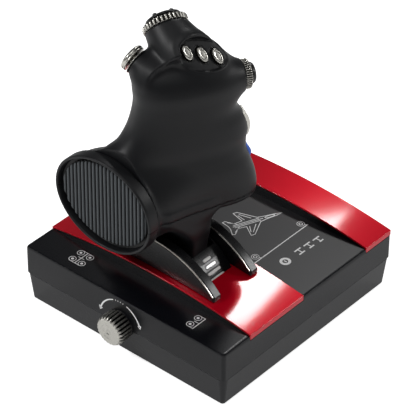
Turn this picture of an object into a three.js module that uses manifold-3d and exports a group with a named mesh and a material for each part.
// Desk flight joystick: a square base with two arched red covers, a pair of guard fins, a stick that
// rolls and pitches between them, a shaped right-hand grip with its controls, and a throttle knob.
// Millimetres, +Z up. The model is laid out about the middle of the base, with x to the right, y to the
// rear and z up from a level just under the housing's floor plate. At the end it is moved so that the
// origin is the middle of its whole footprint, on the table.

import * as THREE from 'three';
import { mergeVertices } from 'three/addons/utils/BufferGeometryUtils.js';
import Module from 'manifold-3d';

const wasm = await Module();
wasm.setup();

// ---------------------------------------------------------------- driving dimensions

const GAP = 0.3; // running and assembly gap between neighbouring pieces
const WALL = 2.5; // moulded wall

const BASE_SIDE = 200;
const BASE_HALF = BASE_SIDE / 2;
const BASE_CORNER = 3;
const BASE_TOP = 48;
const SEAM_Z = 23; // joint between the two housings
const TABLE_Z = -3.6; // the surface that the feet stand on
const BASE_FLOOR = TABLE_Z + 1.5; // underside of the lower housing
const BASE_DRAFT = 3; // the lower housing narrows by this much towards the table
const TOP_EDGE = 1.8; // rounding of the upper housing's top edge
const FLOOR_THICKNESS = 3;
const FLOOR_TOP = BASE_FLOOR + FLOOR_THICKNESS;

const FOOT_AT = 70;
const FOOT_RADIUS = 9;
const FOOT_HEIGHT = 3;
const FOOT_EDGE = 1; // rounding under a foot
const SCREW_AT = 88;
const SCREW_HEAD_RADIUS = 3.4;
const SCREW_HEAD = [BASE_FLOOR + 1.5, BASE_FLOOR + 4.2]; // underside and top of a screw's head
const SCREW_RADIUS = 1.5;
const SCREW_TIP = 36;
const BOSS_RADIUS = 6;
const BOARD_LIFT = 4; // the main board stands this far over the floor
const BOARD_THICKNESS = 1.6;

const ARCH_PEAK = 57.5; // top of a red cover at x = 0
const ARCH_RADIUS = 614;
const ARCH_CENTRE = ARCH_PEAK - ARCH_RADIUS;
const COVER_THICKNESS = 1.6;
const LIP_BOTTOM = 44.5; // the red covers fold down over the sides to here
const FRONT_STRIP = [-70, -8]; // y range of each red cover
const REAR_STRIP = [68, 99];

const STICK_Y = -39.5; // middle of the slot between the fins
const ROLL_Z = 28; // height of the roll axle
const PITCH_Z = 56; // height of the pitch axle
const FIN_PEAK_RADIUS = 81.6;
const FIN_CENTRE_Z = 3;
const FIN_HALF_LENGTH = 60;
const FIN_THICKNESS = 8.5;
const FIN_GAP = 34;
const LINE_SIZE = 1;

const SHROUD_RADIUS = 50; // the curved slot cover turns about the roll axle
const SHROUD_WALL = 2.2;
const SHROUD_HALF_WIDTH = 16.2;
const SHROUD_SPAN = 84; // degrees either side of upright
const CHEEK = 1.5;
const SLOT_HALF = SHROUD_HALF_WIDTH - CHEEK;
const AXLE_RADIUS = 3;
const PITCH_AXLE_RADIUS = 2.5;
const LUG = [26.5, 29.5]; // the pitch axle's lugs, from the middle of the slot
const LUG_TOP = PITCH_Z + 6;
const BUSH_RADIUS = 4;
const GUIDE_ANGLES = [39, 45, 51, 57]; // the light bars, degrees from upright
const BAR_HALF = [1.25, 4.4]; // half width of a bar, and half length of the shortest
const BAR_GROWTH = 1.3; // each bar is longer than the last by twice this

const NECK_BOTTOM = 66;
const NECK_HALF_X = 25;
const NECK_HALF_Y = 10.5;
const LIMIT_FLARE = 13; // the neck may stand out this far at its foot, and not at all at its top
const PALM_RIGHT = 18; // right side of the palm rest over the neck
const POST_RADIUS = 7;
const POST_TOP = 104;

const GRIP_YAW = 60; // degrees from +x to the way the grip points
const GRIP_ORIGIN = [0, -39, 0];
const GRIP_SEAM = 113; // joint between the two grip shells
const GRIP_UNDERSIDE = 108;

const KNOB_X = -2;
const KNOB_REACH = 14;
const KNOB_RADIUS = 13;
const KNOB_Z = 24;
const KNOB_TEETH = 24;

const INLET_RADIUS = 4.5;
const WALL_DEPTH = WALL + BASE_DRAFT; // wall of the lower housing at the seam

// ---------------------------------------------------------------- materials

const paint = (color, roughness, metalness = 0) =>
  new THREE.MeshStandardMaterial({ color, roughness, metalness });

const MATERIALS = {
  housing: paint(0x2c2c30, 0.45),
  cover: paint(0xb00d1e, 0.12),
  fin: paint(0x1b1b1e, 0.35),
  grip: paint(0x26272a, 0.6),
  pad: paint(0x555a5e, 0.7),
  silver: paint(0xc8c8c0, 0.3, 0.9),
  hat: paint(0x151517, 0.4),
  white: paint(0xf2f2f2, 0.4),
  blue: paint(0x2d63c8, 0.25, 0.2),
  steel: paint(0x9a9da1, 0.35, 0.9),
  nylon: paint(0xd8d4c8, 0.6),
  rubber: paint(0x101010, 0.9),
  board: paint(0x1f5a35, 0.5),
  component: paint(0x202024, 0.5),
};

// ---------------------------------------------------------------- solids

const radians = THREE.MathUtils.degToRad;
const vec = (x, y, z) => new THREE.Vector3(x, y, z);
const ALONG_X = vec(1, 0, 0);
const ALONG_Y = vec(0, 1, 0);
const UP = vec(0, 0, 1);

/** A manifold solid of a closed three.js geometry. */
function solid(geometry) {
  geometry.deleteAttribute('normal');
  geometry.deleteAttribute('uv');
  const clean = mergeVertices(geometry, 1e-4);
  const vertProperties = new Float32Array(clean.attributes.position.array);
  const triVerts = new Uint32Array(clean.index.array);
  return new wasm.Manifold(new wasm.Mesh({ numProp: 3, vertProperties, triVerts }));
}

/** The three.js geometry of a manifold solid. */
function geometryOf(body) {
  const mesh = body.getMesh();
  const geometry = new THREE.BufferGeometry();
  geometry.setAttribute('position', new THREE.BufferAttribute(mesh.vertProperties, 3));
  geometry.setIndex(new THREE.BufferAttribute(mesh.triVerts, 1));
  geometry.computeVertexNormals();
  return geometry;
}

const join = (...bodies) => bodies.reduce((whole, body) => whole.add(body));
const cut = (body, ...tools) => tools.reduce((rest, tool) => rest.subtract(tool), body);

/** A box between two corners. */
function block([x0, x1], [y0, y1], [z0, z1]) {
  const geometry = new THREE.BoxGeometry(x1 - x0, y1 - y0, z1 - z0);
  geometry.translate((x0 + x1) / 2, (y0 + y1) / 2, (z0 + z1) / 2);
  return solid(geometry);
}

/** Turns a geometry's own y axis to `axis` and moves its origin to `at`. */
function aim(geometry, at, axis) {
  const turn = new THREE.Quaternion().setFromUnitVectors(vec(0, 1, 0), axis.clone().normalize());
  geometry.applyQuaternion(turn);
  geometry.translate(at.x, at.y, at.z);
  return geometry;
}

/** A round rod from `low` to `high` along `axis`, measured from `at`. */
function rod(at, axis, low, high, radius, sides = 20) {
  const geometry = new THREE.CylinderGeometry(radius, radius, high - low, sides);
  geometry.translate(0, (low + high) / 2, 0);
  return solid(aim(geometry, at, axis));
}

/** A turned solid: `profile` is a list of [radius, height] that starts and ends on the axis. */
function turned(at, axis, profile, sides = 20) {
  const points = profile.map(([radius, height]) => new THREE.Vector2(radius, height));
  return solid(aim(new THREE.LatheGeometry(points, sides), at, axis));
}

/** A ring of rectangular section. */
function ring(at, axis, low, high, inner, outer, sides = 24) {
  return cut(rod(at, axis, low, high, outer, sides), rod(at, axis, low - 1, high + 1, inner, sides));
}

/** A flat outline in x and z, given thickness from y0 to y1. */
function slab(shape, y0, y1, curveSegments = 24) {
  const geometry = new THREE.ExtrudeGeometry(shape, { depth: y1 - y0, bevelEnabled: false, curveSegments });
  geometry.rotateX(Math.PI / 2);
  geometry.translate(0, y1, 0);
  return solid(geometry);
}

/** A square outline with rounded corners. */
function roundedSquare(half, corner) {
  const shape = new THREE.Shape();
  const inset = half - corner;
  shape.absarc(inset, inset, corner, 0, Math.PI / 2);
  shape.absarc(-inset, inset, corner, Math.PI / 2, Math.PI);
  shape.absarc(-inset, -inset, corner, Math.PI, Math.PI * 1.5);
  shape.absarc(inset, -inset, corner, Math.PI * 1.5, Math.PI * 2);
  return shape;
}

/** A fluted outline, as on a knurled ring: `teeth` flat crests with grooves of `depth` between. */
function flutedOutline(radius, depth, teeth) {
  const shape = new THREE.Shape();
  const step = (Math.PI * 2) / teeth;
  const corners = [[0, depth], [0.2, depth], [0.35, 0], [0.85, 0]];
  for (let tooth = 0; tooth < teeth; tooth += 1) {
    for (const [share, drop] of corners) {
      const angle = (tooth + share) * step;
      const reach = radius - drop;
      const move = tooth === 0 && share === 0 ? 'moveTo' : 'lineTo';
      shape[move](reach * Math.cos(angle), reach * Math.sin(angle));
    }
  }
  return shape;
}

/** A fluted disc from `low` to `high` along `axis`, measured from `at`. */
function flutedDisc(at, axis, low, high, radius, depth, teeth) {
  const shape = flutedOutline(radius, depth, teeth);
  const geometry = new THREE.ExtrudeGeometry(shape, { depth: high - low, bevelEnabled: false });
  geometry.rotateX(-Math.PI / 2);
  geometry.translate(0, low, 0);
  return solid(aim(geometry, at, axis));
}

/** A helical spring about `axis`. */
function coil(at, axis, low, high, radius, wire, turns) {
  class Helix extends THREE.Curve {
    getPoint(t, target = new THREE.Vector3()) {
      const angle = t * turns * Math.PI * 2;
      return target.set(radius * Math.cos(angle), low + t * (high - low), radius * Math.sin(angle));
    }
  }
  const shape = new THREE.Shape().absarc(0, 0, wire, 0, Math.PI * 2);
  const options = { steps: turns * 9, extrudePath: new Helix(), curveSegments: 2 };
  return solid(aim(new THREE.ExtrudeGeometry(shape, options), at, axis));
}

/** One section of a loft: an oval of half-sizes a (along `across`) and b, square to `normal`. */
function oval(at, normal, across, a, b, power) {
  const u = across.clone().multiplyScalar(a);
  const v = across.clone().cross(normal).multiplyScalar(b);
  return { at, u, v, power };
}

/** A closed body through a list of oval sections. */
function loft(sections, sides) {
  const levels = sections.length - 1;
  const geometry = new THREE.CylinderGeometry(1, 1, 1, sides, levels);
  const position = geometry.attributes.position;
  const bend = (value, power) => (
    Math.abs(value) < 1e-6 ? 0 : Math.sign(value) * Math.abs(value) ** (2 / power)
  );
  for (let i = 0; i < position.count; i += 1) {
    const section = sections[Math.round((position.getY(i) + 0.5) * levels)];
    const point = section.at.clone();
    point.addScaledVector(section.u, bend(position.getX(i), section.power));
    point.addScaledVector(section.v, bend(position.getZ(i), section.power));
    position.setXYZ(i, point.x, point.y, point.z);
  }
  return solid(geometry);
}

/** Keys [x, y, z, a, b, power], spread smoothly into `count` steps and lofted square to `normal`. */
function smoothLoft(keys, normal, across, count, sides) {
  const places = new THREE.CatmullRomCurve3(keys.map(([x, y, z]) => vec(x, y, z)), false, 'catmullrom');
  const sizes = new THREE.CatmullRomCurve3(keys.map((key) => vec(...key.slice(3))), false, 'catmullrom');
  const sections = [];
  for (let step = 0; step <= count; step += 1) {
    const size = sizes.getPoint(step / count);
    sections.push(oval(places.getPoint(step / count), normal, across, size.x, size.y, size.z));
  }
  return loft(sections, sides);
}

// ---------------------------------------------------------------- base

/** Cuts through both housings: throttle shaft at the front and cable inlet at the rear. */
function housingOpenings() {
  const shaft = rod(vec(KNOB_X, -BASE_HALF, KNOB_Z), ALONG_Y, -1, WALL_DEPTH + 2, AXLE_RADIUS + GAP);
  const inlet = rod(vec(0, BASE_HALF, SEAM_Z), vec(0, -1, 0), -1, WALL_DEPTH + 2, INLET_RADIUS + GAP);
  return [shaft, inlet];
}

const corners = (reach) => [[-reach, -reach], [reach, -reach], [reach, reach], [-reach, reach]];

function lowerHousing() {
  const wallHeight = SEAM_Z - GAP / 2 - BASE_FLOOR;
  const outline = roundedSquare(BASE_HALF - BASE_DRAFT, BASE_CORNER - TOP_EDGE / 4);
  const options = {
    depth: 1, bevelThickness: wallHeight, bevelSize: BASE_DRAFT, bevelSegments: 1, curveSegments: 2,
  };
  const tapered = new THREE.ExtrudeGeometry(outline, options);
  tapered.translate(0, 0, BASE_FLOOR + wallHeight);
  const top = SEAM_Z - GAP / 2;
  let shell = solid(tapered).intersect(block([-150, 150], [-150, 150], [BASE_FLOOR, top]));
  const inside = BASE_HALF - BASE_DRAFT - WALL;
  shell = cut(shell, block([-inside, inside], [-inside, inside], [FLOOR_TOP, BASE_TOP]));
  for (const [x, y] of corners(SCREW_AT)) {
    shell = join(shell, rod(vec(x, y, 0), UP, FLOOR_TOP - 1, top, BOSS_RADIUS, 12));
    shell = cut(shell, rod(vec(x, y, 0), UP, TABLE_Z, top + 1, SCREW_RADIUS + 0.5, 8));
    shell = cut(shell, rod(vec(x, y, 0), UP, TABLE_Z, SCREW_HEAD[1] + GAP, SCREW_HEAD_RADIUS + 0.6, 12));
  }
  for (const [x, y] of corners(FOOT_AT)) {
    shell = cut(shell, rod(vec(x, y, TABLE_Z), UP, 0, FOOT_HEIGHT + GAP, FOOT_RADIUS + GAP, 20));
  }
  return cut(shell, ...housingOpenings());
}

/** The arc of a red cover's top, lowered by `drop`, from -half to half, as a solid outline. */
function archOutline(half, bottom, drop) {
  const shape = new THREE.Shape();
  const radius = ARCH_RADIUS - drop;
  const swing = Math.asin(half / radius);
  shape.moveTo(-half, bottom);
  shape.lineTo(half, bottom);
  shape.absarc(0, ARCH_CENTRE, radius, Math.PI / 2 - swing, Math.PI / 2 + swing);
  return shape;
}

/** The pocket that a red cover and its lips lie in. */
function coverPocket([y0, y1]) {
  const ceiling = BASE_TOP + 20;
  const drop = COVER_THICKNESS + GAP;
  const all = block([-BASE_HALF - 1, BASE_HALF + 1], [y0 - GAP, y1 + GAP], [LIP_BOTTOM - GAP, ceiling]);
  return cut(all, slab(archOutline(BASE_HALF - drop, LIP_BOTTOM - 2, drop), y0 - 1, y1 + 1, 10));
}

/** The round cut that the slot cover turns in. */
function slotCut() {
  const half = SHROUD_HALF_WIDTH + GAP * 2;
  return rod(vec(0, STICK_Y, ROLL_Z), vec(0, 1, 0), -half, half, SHROUD_RADIUS + 0.8, 48);
}

function upperHousing() {
  const options = {
    depth: BASE_TOP - TOP_EDGE - 10, bevelThickness: TOP_EDGE, bevelSize: TOP_EDGE,
    bevelOffset: -TOP_EDGE, bevelSegments: 2, curveSegments: 2,
  };
  const geometry = new THREE.ExtrudeGeometry(roundedSquare(BASE_HALF, BASE_CORNER), options);
  geometry.translate(0, 0, 10);
  const bottom = SEAM_Z + GAP / 2;
  let shell = solid(geometry).intersect(block([-150, 150], [-150, 150], [bottom, 100]));
  const inside = BASE_HALF - WALL;
  shell = cut(shell, block([-inside, inside], [-inside, inside], [0, BASE_TOP - WALL]));
  for (const strip of [FRONT_STRIP, REAR_STRIP]) {
    const ridge = slab(archOutline(BASE_HALF - 2, BASE_TOP - WALL, 1), ...strip, 10);
    shell = cut(join(shell, ridge), coverPocket(strip));
  }
  for (const [x, y] of corners(SCREW_AT)) {
    shell = join(shell, rod(vec(x, y, 0), UP, bottom, BASE_TOP - 1, BOSS_RADIUS, 12));
    shell = cut(shell, rod(vec(x, y, 0), UP, 0, SCREW_TIP + 2, SCREW_RADIUS + GAP, 8));
  }
  return cut(shell, slotCut(), ...housingOpenings());
}

function redCover([y0, y1]) {
  const half = BASE_HALF - COVER_THICKNESS;
  const outer = slab(archOutline(BASE_HALF, LIP_BOTTOM, 0), y0, y1, 10);
  return cut(outer, slab(archOutline(half, LIP_BOTTOM - 1, COVER_THICKNESS), y0 - 1, y1 + 1, 10));
}

/** The outline of a guard fin that is `lower` mm smaller than full size. */
function finOutline(lower) {
  const shape = new THREE.Shape();
  const radius = FIN_PEAK_RADIUS - lower;
  const swing = Math.asin(FIN_HALF_LENGTH / radius);
  const seat = ARCH_RADIUS + GAP;
  const seatSwing = Math.asin(FIN_HALF_LENGTH / seat);
  shape.absarc(0, FIN_CENTRE_Z, radius, Math.PI / 2 - swing, Math.PI / 2 + swing);
  shape.absarc(0, ARCH_CENTRE, seat, Math.PI / 2 + seatSwing, Math.PI / 2 - seatSwing, true);
  return shape;
}

/** A fin whose front top edge is rebated for its bright line. */
function fin(y0) {
  const rebate = LINE_SIZE + GAP;
  const back = slab(finOutline(0), y0 + rebate, y0 + FIN_THICKNESS, 8);
  return join(back, slab(finOutline(rebate), y0, y0 + rebate + 0.01, 8));
}

function finLine(y0) {
  const half = FIN_HALF_LENGTH - 1;
  const shape = new THREE.Shape();
  const inner = FIN_PEAK_RADIUS - LINE_SIZE;
  const swing = Math.asin(half / FIN_PEAK_RADIUS);
  shape.absarc(0, FIN_CENTRE_Z, FIN_PEAK_RADIUS, Math.PI / 2 - swing, Math.PI / 2 + swing);
  shape.absarc(0, FIN_CENTRE_Z, inner, Math.PI / 2 + swing, Math.PI / 2 - swing, true);
  return slab(shape, y0, y0 + LINE_SIZE, 8);
}

function foot(x, y) {
  const profile = [
    [0, 0], [FOOT_RADIUS - FOOT_EDGE, 0], [FOOT_RADIUS, FOOT_EDGE], [FOOT_RADIUS, FOOT_HEIGHT],
    [0, FOOT_HEIGHT],
  ];
  return turned(vec(x, y, TABLE_Z), UP, profile);
}

function housingScrew(x, y) {
  const [under, top] = SCREW_HEAD;
  const profile = [
    [0, under], [SCREW_HEAD_RADIUS, under], [SCREW_HEAD_RADIUS, top], [SCREW_RADIUS, top],
    [SCREW_RADIUS, SCREW_TIP - 1], [0, SCREW_TIP],
  ];
  return turned(vec(x, y, 0), UP, profile, 12);
}

function cableInlet() {
  const at = vec(0, BASE_HALF, SEAM_Z);
  const inward = vec(0, -1, 0);
  const deep = WALL_DEPTH + GAP;
  const barrel = rod(at, inward, 0, deep + 4, INLET_RADIUS, 20);
  const flange = rod(at, inward, deep, deep + 2.5, INLET_RADIUS + 2.5, 20);
  return cut(join(barrel, flange), rod(at, inward, -1, deep + 5, INLET_RADIUS / 2, 16));
}

function mainBoard() {
  const level = FLOOR_TOP + BOARD_LIFT;
  const board = block([-60, 60], [8, 72], [level, level + BOARD_THICKNESS]);
  const chip = block([-9, 9], [30, 48], [level + 1, level + 3.4]);
  const socket = block([-7, 7], [64, 71], [level + 1, level + 8]);
  return join(board, chip, socket);
}

function boardPosts(shell) {
  let whole = shell;
  for (const [x, y] of [[-55, 13], [55, 13], [55, 67], [-55, 67]]) {
    whole = join(whole, rod(vec(x, y, FLOOR_TOP), UP, -1, BOARD_LIFT - GAP, 3, 12));
  }
  return whole;
}

// ---------------------------------------------------------------- throttle

const THROTTLE = vec(KNOB_X, -BASE_HALF, KNOB_Z);
const OUTWARD = vec(0, -1, 0);

function throttleKnob() {
  const body = flutedDisc(THROTTLE, OUTWARD, 0.6, KNOB_REACH, KNOB_RADIUS, 1.1, KNOB_TEETH);
  const groove = ring(THROTTLE, OUTWARD, KNOB_REACH - 1, KNOB_REACH + 1, 4.6, 7, 24);
  const bore = rod(THROTTLE, OUTWARD, 0, 9, AXLE_RADIUS + GAP, 20);
  return cut(body, groove, bore);
}

function throttleShaft() {
  return rod(THROTTLE, OUTWARD, -13, 8.5, AXLE_RADIUS, 20);
}

function throttleSensor() {
  const inside = -WALL_DEPTH - GAP;
  const can = rod(THROTTLE, OUTWARD, inside - 12, inside - 3, 8.5, 24);
  const neck = rod(THROTTLE, OUTWARD, inside - 3.5, inside, 4.8, 20);
  const across = [KNOB_X - 6, KNOB_X + 6];
  const terminals = block(across, [-BASE_HALF + 12, -BASE_HALF + 14.5], [KNOB_Z - 14, KNOB_Z - 5]);
  return cut(join(can, neck, terminals), rod(THROTTLE, OUTWARD, -14, 1, AXLE_RADIUS + GAP, 20));
}

// ---------------------------------------------------------------- gimbal

const ROLL_CENTRE = vec(0, STICK_Y, ROLL_Z);
const PITCH_CENTRE = vec(0, STICK_Y, PITCH_Z);

function gimbalFrame() {
  let frame = block([-32, 32], [-68, -11], [FLOOR_TOP + GAP, FLOOR_TOP + 3]);
  for (const y0 of [STICK_Y - 23.5, STICK_Y + 18.5]) {
    const shape = new THREE.Shape();
    shape.moveTo(-20, FLOOR_TOP + 1);
    shape.lineTo(20, FLOOR_TOP + 1);
    shape.lineTo(9, ROLL_Z);
    shape.absarc(0, ROLL_Z, 9, 0, Math.PI);
    frame = join(frame, slab(shape, y0, y0 + 5, 6));
  }
  return cut(frame, rod(ROLL_CENTRE, ALONG_Y, -40, 40, 4.8, 20));
}

const rollBush = (low) => ring(ROLL_CENTRE, ALONG_Y, low, low + 5, AXLE_RADIUS + GAP, 4.5, 20);
const rollAxle = () => rod(ROLL_CENTRE, ALONG_Y, -34, 29, AXLE_RADIUS, 20);
const rollSpring = () => coil(ROLL_CENTRE, ALONG_Y, -31.5, -25, 5.2, 0.6, 4);

function rollSensor() {
  const can = rod(ROLL_CENTRE, ALONG_Y, 23.9, 31, 8.5, 24);
  const terminals = block([-6, 6], [STICK_Y + 27, STICK_Y + 29.5], [ROLL_Z - 14, ROLL_Z - 5]);
  return cut(join(can, terminals), rod(ROLL_CENTRE, ALONG_Y, 20, 30, AXLE_RADIUS + GAP, 20));
}

/** The curved cover in the slot, with side cheeks on the roll axle and lugs for the pitch axle. */
function slotShroud() {
  const wide = SHROUD_HALF_WIDTH;
  const inner = SHROUD_RADIUS - SHROUD_WALL;
  const end = radians(90 - SHROUD_SPAN);
  const opening = [STICK_Y - SLOT_HALF, STICK_Y + SLOT_HALF];
  const outline = new THREE.Shape().absarc(0, ROLL_Z, SHROUD_RADIUS, -end, Math.PI + end);
  let shroud = slab(outline, STICK_Y - wide, STICK_Y + wide, 14);
  shroud = cut(shroud, rod(ROLL_CENTRE, ALONG_Y, -SLOT_HALF, SLOT_HALF, inner, 36));
  shroud = cut(shroud, block([-inner + 1, inner - 1], opening, [0, ROLL_Z]));
  for (const side of [-1, 1]) {
    const across = LUG.map((x) => side * x).sort((p, q) => p - q);
    shroud = join(shroud, block(across, [STICK_Y - wide, STICK_Y + wide], [PITCH_Z - 7, LUG_TOP]));
  }
  shroud = cut(shroud, rod(PITCH_CENTRE, ALONG_X, -40, 40, BUSH_RADIUS + GAP, 20));
  shroud = cut(shroud, rod(ROLL_CENTRE, ALONG_Y, -40, 40, AXLE_RADIUS + GAP, 20));
  shroud = cut(shroud, block([-NECK_HALF_X - 0.6, NECK_HALF_X + 0.6], opening, [52, 90]));
  return cut(shroud, ...guideBars(GAP, -4, 4));
}

/** The four bars of the light guide, each `grow` mm larger all round, between two depths. */
function guideBars(grow, low, high) {
  const [narrow, long] = BAR_HALF;
  return GUIDE_ANGLES.map((angle, index) => {
    const across = vec(Math.cos(radians(angle)), 0, -Math.sin(radians(angle)));
    const out = vec(Math.sin(radians(angle)), 0, Math.cos(radians(angle)));
    const at = ROLL_CENTRE.clone().addScaledVector(out, SHROUD_RADIUS);
    const half = long + index * BAR_GROWTH;
    const level = (depth) => (
      oval(at.clone().addScaledVector(out, depth), out, across, narrow + grow, half + grow, 6)
    );
    return loft([level(low), level(high)], 8);
  });
}

/** The light guide: a curved strip behind the shroud with four bars that fill its slots. */
function lightGuide() {
  const outline = new THREE.Shape();
  const low = radians(90 - GUIDE_ANGLES[3] - 3);
  const high = radians(90 - GUIDE_ANGLES[0] + 3);
  const outer = SHROUD_RADIUS - SHROUD_WALL - GAP;
  outline.absarc(0, ROLL_Z, outer, low, high);
  outline.absarc(0, ROLL_Z, outer - 2, high, low, true);
  const strip = slab(outline, STICK_Y - 9.5, STICK_Y + 9.5, 6);
  return join(strip, ...guideBars(0, -SHROUD_WALL - 1, 0.2));
}

const pitchBush = (low) => (
  ring(PITCH_CENTRE, ALONG_X, low, low + 3, PITCH_AXLE_RADIUS + GAP, BUSH_RADIUS, 20)
);
const pitchAxle = () => rod(PITCH_CENTRE, ALONG_X, -29.8, 29.8, PITCH_AXLE_RADIUS, 20);
const pitchSpring = () => coil(PITCH_CENTRE, ALONG_X, 21.2, 25.4, 4, 0.5, 3);
const pitchSensor = () => ring(PITCH_CENTRE, ALONG_X, -26.1, -20.4, PITCH_AXLE_RADIUS + GAP, 5.4, 20);

/** The block on the pitch axle, with the post that the grip is fixed to. */
function stickRoot() {
  const body = block([-20, 20], [STICK_Y - 6, STICK_Y + 6], [PITCH_Z - 7, NECK_BOTTOM - GAP]);
  const post = rod(vec(0, STICK_Y, 0), UP, NECK_BOTTOM - 1, POST_TOP, POST_RADIUS, 20);
  return cut(join(body, post), rod(PITCH_CENTRE, ALONG_X, -40, 40, PITCH_AXLE_RADIUS + GAP, 20));
}

// ---------------------------------------------------------------- grip

/** The grip's own frame: x the way it points, y to its left, z up. */
const gripFrame = new THREE.Matrix4().makeRotationZ(radians(GRIP_YAW)).setPosition(...GRIP_ORIGIN);
const inGrip = (x, y, z) => vec(x, y, z).applyMatrix4(gripFrame);
const turnedToGrip = (x, y, z) => vec(x, y, z).transformDirection(gripFrame);
const GRIP_FORWARD = turnedToGrip(1, 0, 0);

// Height, rear and front reach along the grip, middle to the left, half width, squareness.
const COLUMN_KEYS = [
  [108, -42, 60.5, 0, 24.5, 3], [117, -44, 61.6, 0, 24.5, 3], [128, -48, 60.2, 0, 25, 2.8],
  [139, -53, 56.8, 0, 24.5, 2.6], [148, -56, 54, 1, 24, 2.5], [156, -54, 54.4, 2, 23.5, 2.4],
  [164, -45, 55.7, 2, 23, 2.4], [173, -38, 54.2, 3, 23, 2.4], [186, -32.5, 47.5, 4, 22.5, 2.4],
  [198, -30, 51, 5, 22.5, 2.4], [210, -30.5, 50, 6, 22.5, 2.4], [220, -30, 45.5, 8, 20, 2.3],
  [228, -24, 38, 10, 15, 2.2], [236, -13, 29, 12, 9, 2.1], [240, -4, 20, 12, 4, 2],
];

// Middle x, y, z, half width, half height, squareness of the palm rest, square to +y.
const PALM_KEYS = [
  [-28, -90, 116, 47.5, 39.6, 2], [-28, -80, 116, 47.5, 39.6, 2], [-27.5, -77, 116.3, 45.8, 37.8, 2],
  [-24.5, -68, 118, 44.5, 34.5, 2.1], [-19, -56, 122, 40, 28, 2.2], [-12, -42, 124, 33, 19, 2.3],
  [-6, -30, 124, 26, 13, 2.3],
];

// Middle x, y, z, half width along x and along y, squareness of the neck.
const NECK_KEYS = [
  [0, STICK_Y, NECK_BOTTOM, NECK_HALF_X, NECK_HALF_Y, 8], [0, STICK_Y, 76, 25.6, NECK_HALF_Y, 8],
  [0, STICK_Y - 1, 86, 28, 11.5, 7], [0, STICK_Y - 5, 97, 30.8, 15.5, 6],
  [0, STICK_Y - 11, 110, 33.5, 21, 6],
];

const HAT = { at: [2.0, 26.6, 242.8], axis: [-0.0824, 0.813, 0.576], radius: 17.4 };
const THUMB = { at: [-24, 16.5, 225.6], axis: [-0.522, 0.745, 0.416], radius: 10.6 };
const SIDE = { at: [52.9, 6, 204.4], axis: [1, 0, 0], radius: 11.4 };

// Depth below the end face, sideways shift along the grip, radius of each control's mounting.
const HAT_NECK = [[0, 0, 17], [8, 1.8, 18.7], [15, 3.5, 20.5], [30, 6, 22]];
const THUMB_STUB = [[0, 0, 9.5], [8, 1, 11.5], [18, 3, 15]];
const NOSE = [[0, 0, 12.4], [6, -0.5, 14], [16, -1, 16], [30, -2, 18]];

/** The body behind a round control, `shrink` mm smaller all round. */
function mounting({ at, axis }, keys, shrink, sides) {
  const outward = turnedToGrip(...axis);
  const side = turnedToGrip(1, 0, 0);
  const across = side.addScaledVector(outward, -side.dot(outward));
  if (across.length() < 0.5) {
    across.copy(UP);
  }
  across.normalize();
  const sections = keys.map(([depth, shift, radius]) => {
    const middle = inGrip(...at).addScaledVector(outward, -depth - (depth === 0 ? shrink : 0));
    middle.addScaledVector(across, shift);
    return oval(middle, outward, across, radius - shrink, radius - shrink, 2);
  });
  return loft(sections.reverse(), sides);
}

function column(shrink, bottom, steps, sides) {
  const keys = COLUMN_KEYS.map(([z, rear, front, left, half, power], index) => {
    const place = inGrip((rear + front) / 2, left, index === 0 ? bottom : z - (z > 215 ? shrink : 0));
    const reach = Math.max((front - rear) / 2 - shrink, 2);
    return [place.x, place.y, place.z, reach, Math.max(half - shrink, 1.5), power];
  });
  return smoothLoft(keys, UP, GRIP_FORWARD, steps, sides);
}

function palmTube(shrink, start, steps, sides) {
  const keys = PALM_KEYS.map(([x, y, z, a, b, power], index) => (
    [x, index === 0 ? y + start : y, z, a - shrink, b - shrink, power]
  ));
  return smoothLoft(keys, ALONG_Y, ALONG_X, steps, sides);
}

/** The room under the column and the palm rest that the neck keeps to, wider towards its foot. */
function neckLimit(shrink) {
  const [, rear, front, left, half, power] = COLUMN_KEYS[0];
  const level = (z, more) => oval(
    inGrip((rear + front) / 2, left, z), UP, GRIP_FORWARD, (front - rear) / 2 + more - shrink,
    half + more - shrink, power,
  );
  const underColumn = loft([level(NECK_BOTTOM - 2, LIMIT_FLARE), level(GRIP_SEAM, 0)], 28);
  return join(underColumn, block([-80, PALM_RIGHT - shrink], [-95, -45], [NECK_BOTTOM - 2, GRIP_SEAM]));
}

function neck(shrink, floor, steps, sides) {
  const keys = NECK_KEYS.map(([x, y, z, a, b, power], index) => (
    [x, y, index === 0 ? z + floor : z, a - shrink, b - shrink, power]
  ));
  return smoothLoft(keys, UP, ALONG_X, steps, sides).intersect(neckLimit(shrink));
}

// The flat that carries the three buttons: its middle, its normal, and the way the row runs.
const ROW_AT = inGrip(19.5, 0, 232.5);
const ROW_NORMAL = turnedToGrip(0.23, -0.71, 0.666);
const ROW_ALONG = turnedToGrip(0.945, 0, -0.326);
const ROW_PITCH = 12.3;
const BUTTON_LEAN = radians(36);
const BUTTON_HALF = [6.2, 3.4];
const BUTTON_ROOT = 4; // every button reaches this far below its seat
const PRESS = 1.2; // travel of a button
const HOLE_DEPTH = BUTTON_ROOT + PRESS + GAP * 2;

/** An oval prism on the button flat, at `shift` along the row, leaning by `lean`. */
function rowOval(shift, lean, a, b, low, high) {
  const across = ROW_ALONG.clone().applyAxisAngle(ROW_NORMAL, lean);
  across.addScaledVector(ROW_NORMAL, -across.dot(ROW_NORMAL)).normalize();
  const middle = ROW_AT.clone().addScaledVector(ROW_ALONG, shift);
  const level = (depth) => (
    oval(middle.clone().addScaledVector(ROW_NORMAL, depth), ROW_NORMAL, across, a, b, 2)
  );
  return loft([level(low), level(high)], 16);
}

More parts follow.
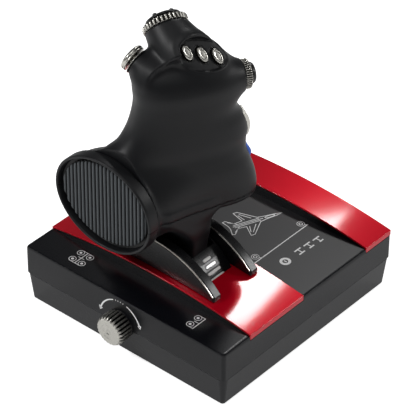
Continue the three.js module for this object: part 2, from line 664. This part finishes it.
function gripOuter() {
  const whole = join(
    column(0, GRIP_UNDERSIDE, 14, 22), palmTube(0, 0, 6, 30), neck(0, 0, 4, 24),
    mounting(HAT, HAT_NECK, 0, 18), mounting(THUMB, THUMB_STUB, 0, 14), mounting(SIDE, NOSE, 0, 16),
    rowOval(0, 0, 21, 12.5, -12, 0),
  );
  return cut(whole, rowOval(0, 0, 23, 14, 0, 14));
}

function gripInner() {
  const whole = join(
    column(WALL, GRIP_UNDERSIDE + WALL, 8, 12), palmTube(WALL, 9, 6, 16), neck(WALL, 3, 4, 12),
    mounting(HAT, HAT_NECK, WALL, 10), mounting(THUMB, THUMB_STUB, WALL, 10),
    mounting(SIDE, NOSE, WALL, 10),
  );
  return cut(whole, rowOval(0, 0, 30, 20, -WALL, 14));
}

const TRIGGER_LEFT = [-4, 8];
const UPPER_TRIGGER = { z: [157, 176], reach: 58.4, pin: 173 };
const LOWER_TRIGGER = { z: [135.5, 147], reach: 59.6, pin: 144.5 };
const TRIGGER_ROOT = 45;
const PIN_X = 48;

/** A box in the grip's own frame. */
function gripBlock(x, y, z) {
  const body = new THREE.BoxGeometry(x[1] - x[0], y[1] - y[0], z[1] - z[0]);
  body.translate((x[0] + x[1]) / 2, (y[0] + y[1]) / 2, (z[0] + z[1]) / 2);
  return solid(body.applyMatrix4(gripFrame));
}

/** Everything that is cut through the grip's wall. */
function gripCuts() {
  const holes = [
    rod(inGrip(...HAT.at), turnedToGrip(...HAT.axis), -WALL - 1, 1, 12, 28),
    rod(inGrip(...THUMB.at), turnedToGrip(...THUMB.axis), -HOLE_DEPTH, 1, 4.4, 20),
    rod(inGrip(...SIDE.at), turnedToGrip(...SIDE.axis), -HOLE_DEPTH, 1, 3.4, 20),
    rod(vec(0, STICK_Y, 0), UP, NECK_BOTTOM - 1, NECK_BOTTOM + 5, POST_RADIUS + GAP, 20),
  ];
  for (const shift of [-ROW_PITCH, 0, ROW_PITCH]) {
    const [a, b] = BUTTON_HALF;
    holes.push(rowOval(shift, Math.PI / 2 + BUTTON_LEAN, a + 0.4, b + 0.4, -HOLE_DEPTH, 2));
  }
  for (const { z } of [UPPER_TRIGGER, LOWER_TRIGGER]) {
    const sides = [TRIGGER_LEFT[0] - 0.4, TRIGGER_LEFT[1] + 0.4];
    holes.push(gripBlock([40, 70], sides, [z[0] - 1, z[1] + 0.4]));
  }
  return holes;
}

const PALM_RIM = 2.6;
const PALM_RECESS = 6;
const RIB_PITCH = 3.7;
const RIB_HALF = 1;

function palmRecess() {
  const [x, y, z, a, b] = PALM_KEYS[0];
  const mouth = oval(vec(x, y - 1, z), ALONG_Y, ALONG_X, a - PALM_RIM, b - PALM_RIM, 2);
  const back = oval(vec(x, y + PALM_RECESS, z), ALONG_Y, ALONG_X, a - PALM_RIM, b - PALM_RIM, 2);
  return loft([mouth, back], 36);
}

function gripShell(range) {
  const half = block([-120, 120], [-120, 60], range);
  return cut(gripOuter(), gripInner(), palmRecess(), ...gripCuts()).intersect(half);
}

/** The ribbed rubber pad in the palm rest. */
function palmPad() {
  const [x, y, z, a, b] = PALM_KEYS[0];
  const [padA, padB] = [a - PALM_RIM - 3, b - PALM_RIM - 3];
  const disc = (from, to) => loft([
    oval(vec(x, y + from, z), ALONG_Y, ALONG_X, padA, padB, 2),
    oval(vec(x, y + to, z), ALONG_Y, ALONG_X, padA, padB, 2),
  ], 40);
  const ribs = [];
  const reach = Math.floor(padA / RIB_PITCH);
  for (let rib = -reach; rib <= reach; rib += 1) {
    const middle = x + rib * RIB_PITCH;
    ribs.push(block([middle - RIB_HALF, middle + RIB_HALF], [y + 0.2, y + 3], [z - b, z + b]));
  }
  return join(disc(2.6, PALM_RECESS - GAP), join(...ribs).intersect(disc(0, 3.2)));
}

// ---------------------------------------------------------------- controls on the grip

function knurledRing({ at, axis, radius }, inner, high, depth, teeth) {
  const middle = inGrip(...at);
  const outward = turnedToGrip(...axis);
  const body = flutedDisc(middle, outward, GAP, high, radius, depth, teeth);
  return cut(body, rod(middle, outward, 0, high + 1, inner, 24));
}

const capOn = ({ at, axis }, profile, sides = 20) => (
  turned(inGrip(...at), turnedToGrip(...axis), profile, sides)
);

const hatProfile = [
  [0, -5.5], [2.6, -5.5], [2.6, 2.2], [12.5, 2.2], [12.5, 5.8], [13.6, 7], [13.6, 8.4], [11, 9.7],
  [0, 10.2],
];
const thumbProfile = [
  [0, -BUTTON_ROOT], [4, -BUTTON_ROOT], [4, 1.8], [10.4, 2], [10.8, 3], [10.8, 5.8], [9.3, 7.1], [5, 7.7],
  [0, 7.9],
];
const sideProfile = [
  [0, -BUTTON_ROOT], [3, -BUTTON_ROOT], [3, 1.6], [8.5, 1.6], [8.5, 7], [7.4, 9], [4, 10], [0, 10.2],
];

const HAT_BUMP_AT = 9; // distance of the cap's four bumps from its middle

function hatCap() {
  const outward = turnedToGrip(...HAT.axis);
  let cap = capOn(HAT, hatProfile);
  const across = turnedToGrip(1, 0, 0).cross(outward).normalize();
  for (let quarter = 0; quarter < 4; quarter += 1) {
    const way = across.clone().applyAxisAngle(outward, (quarter * Math.PI) / 2);
    const at = inGrip(...HAT.at).addScaledVector(way, HAT_BUMP_AT);
    cap = join(cap, rod(at, outward, 7, 11.3, 1.8, 8));
  }
  return cap;
}

const hatGimbal = () => ring(inGrip(...HAT.at), turnedToGrip(...HAT.axis), -3.2, -1.8, 3, 6.5, 20);
const hatBoard = () => rod(inGrip(...HAT.at), turnedToGrip(...HAT.axis), -9, -7.4, 11, 20);
const switchBelow = ({ at, axis }) => rod(inGrip(...at), turnedToGrip(...axis), -9.5, -5.5, 4, 4);

function rowButton(shift) {
  const [a, b] = BUTTON_HALF;
  return rowOval(shift, Math.PI / 2 + BUTTON_LEAN, a, b, -BUTTON_ROOT, 2.8);
}

function rowBoard() {
  const board = rowOval(0, 0, 17, 6, -9.4, -7.8);
  const domes = [-ROW_PITCH, 0, ROW_PITCH].map((shift) => rowOval(shift, 0, 2.5, 2.5, -8, -5.6));
  return join(board, ...domes);
}

/** A trigger blade: a curved front in the grip's own x and z, with the hole for its pin. */
function trigger({ z, reach, pin }) {
  const [low, high] = z;
  const middle = (low + high) / 2;
  const shape = new THREE.Shape();
  shape.moveTo(TRIGGER_ROOT, low + 1);
  shape.lineTo(reach - 3.4, low);
  shape.quadraticCurveTo(reach + 0.6, middle, reach - 4.5, high);
  shape.lineTo(TRIGGER_ROOT, high);
  const options = { depth: TRIGGER_LEFT[1] - TRIGGER_LEFT[0], bevelEnabled: false, curveSegments: 10 };
  const geometry = new THREE.ExtrudeGeometry(shape, options);
  geometry.rotateX(Math.PI / 2);
  geometry.translate(0, TRIGGER_LEFT[1], 0);
  const blade = solid(geometry.applyMatrix4(gripFrame));
  return cut(blade, triggerBore(pin, 1.3 + GAP / 2, -1));
}

function triggerBore(pin, radius, inset) {
  const [low, high] = TRIGGER_LEFT;
  return rod(inGrip(PIN_X, 0, pin), turnedToGrip(0, 1, 0), low + inset, high - inset, radius, 16);
}

const triggerPin = ({ pin }) => triggerBore(pin, 1.1, 0.3);

function triggerSwitch({ z }) {
  const middle = (z[0] + z[1]) / 2 - 1;
  return gripBlock([36, 42.5], [-3, 7], [middle - 4, middle + 4]);
}

const gripBoard = () => gripBlock([-18, 18], [-1, 1], [122, 176]);

// ---------------------------------------------------------------- assembly

const joystick = new THREE.Group();
joystick.position.set(0, KNOB_REACH / 2, -TABLE_Z);

function add(name, body, material) {
  const mesh = new THREE.Mesh(geometryOf(body), MATERIALS[material]);
  mesh.name = name;
  joystick.add(mesh);
}

const CORNER_NAMES = ['front_left', 'front_right', 'rear_right', 'rear_left'];
const FRONT_FIN_Y = STICK_Y - FIN_GAP / 2 - FIN_THICKNESS;
const REAR_FIN_Y = STICK_Y + FIN_GAP / 2;

add('lower_housing', boardPosts(lowerHousing()), 'housing');
add('upper_housing', upperHousing(), 'housing');
add('front_red_cover', cut(redCover(FRONT_STRIP), slotCut()), 'cover');
add('rear_red_cover', redCover(REAR_STRIP), 'cover');
add('front_guard_fin', fin(FRONT_FIN_Y), 'fin');
add('rear_guard_fin', fin(REAR_FIN_Y), 'fin');
add('front_fin_line', finLine(FRONT_FIN_Y), 'silver');
add('rear_fin_line', finLine(REAR_FIN_Y), 'silver');
corners(FOOT_AT).forEach(([x, y], index) => add(`foot_${CORNER_NAMES[index]}`, foot(x, y), 'rubber'));
corners(SCREW_AT).forEach(([x, y], index) => (
  add(`screw_${CORNER_NAMES[index]}`, housingScrew(x, y), 'steel')
));
add('cable_inlet', cableInlet(), 'rubber');
add('main_circuit_board', mainBoard(), 'board');

add('throttle_knob', throttleKnob(), 'silver');
add('throttle_shaft', throttleShaft(), 'steel');
add('throttle_sensor', throttleSensor(), 'component');

add('gimbal_frame', gimbalFrame(), 'nylon');
add('roll_bush_front', rollBush(-23.5), 'nylon');
add('roll_bush_rear', rollBush(18.5), 'nylon');
add('roll_axle', rollAxle(), 'steel');
add('roll_spring', rollSpring(), 'steel');
add('roll_sensor', rollSensor(), 'component');
add('slot_shroud', slotShroud(), 'fin');
add('shroud_light_guide', lightGuide(), 'white');
add('pitch_bush_left', pitchBush(-LUG[1]), 'nylon');
add('pitch_bush_right', pitchBush(LUG[0]), 'nylon');
add('pitch_axle', pitchAxle(), 'steel');
add('pitch_spring', pitchSpring(), 'steel');
add('pitch_sensor', pitchSensor(), 'component');
add('stick_root', stickRoot(), 'nylon');

add('grip_upper_shell', gripShell([GRIP_SEAM + GAP / 2, 300]), 'grip');
add('grip_lower_shell', gripShell([0, GRIP_SEAM - GAP / 2]), 'grip');
add('palm_pad', palmPad(), 'pad');
add('grip_circuit_board', gripBoard(), 'board');

add('hat_ring', knurledRing(HAT, 14.2, 4.6, 0.9, 26), 'silver');
add('hat_cap', hatCap(), 'hat');
add('hat_gimbal', hatGimbal(), 'nylon');
add('hat_board', hatBoard(), 'board');
add('thumb_button', capOn(THUMB, thumbProfile), 'silver');
add('thumb_switch', switchBelow(THUMB), 'component');
add('side_ring', knurledRing(SIDE, 8.9, 5.2, 0.5, 28), 'silver');
add('side_button', capOn(SIDE, sideProfile), 'hat');
add('side_switch', switchBelow(SIDE), 'component');
add('row_button_rear', rowButton(-ROW_PITCH), 'silver');
add('row_button_middle', rowButton(0), 'silver');
add('row_button_front', rowButton(ROW_PITCH), 'silver');
add('row_button_board', rowBoard(), 'board');
add('upper_trigger', trigger(UPPER_TRIGGER), 'silver');
add('lower_trigger', trigger(LOWER_TRIGGER), 'blue');
add('upper_trigger_pin', triggerPin(UPPER_TRIGGER), 'steel');
add('lower_trigger_pin', triggerPin(LOWER_TRIGGER), 'steel');
add('upper_trigger_switch', triggerSwitch(UPPER_TRIGGER), 'component');
add('lower_trigger_switch', triggerSwitch(LOWER_TRIGGER), 'component');

export default joystick;
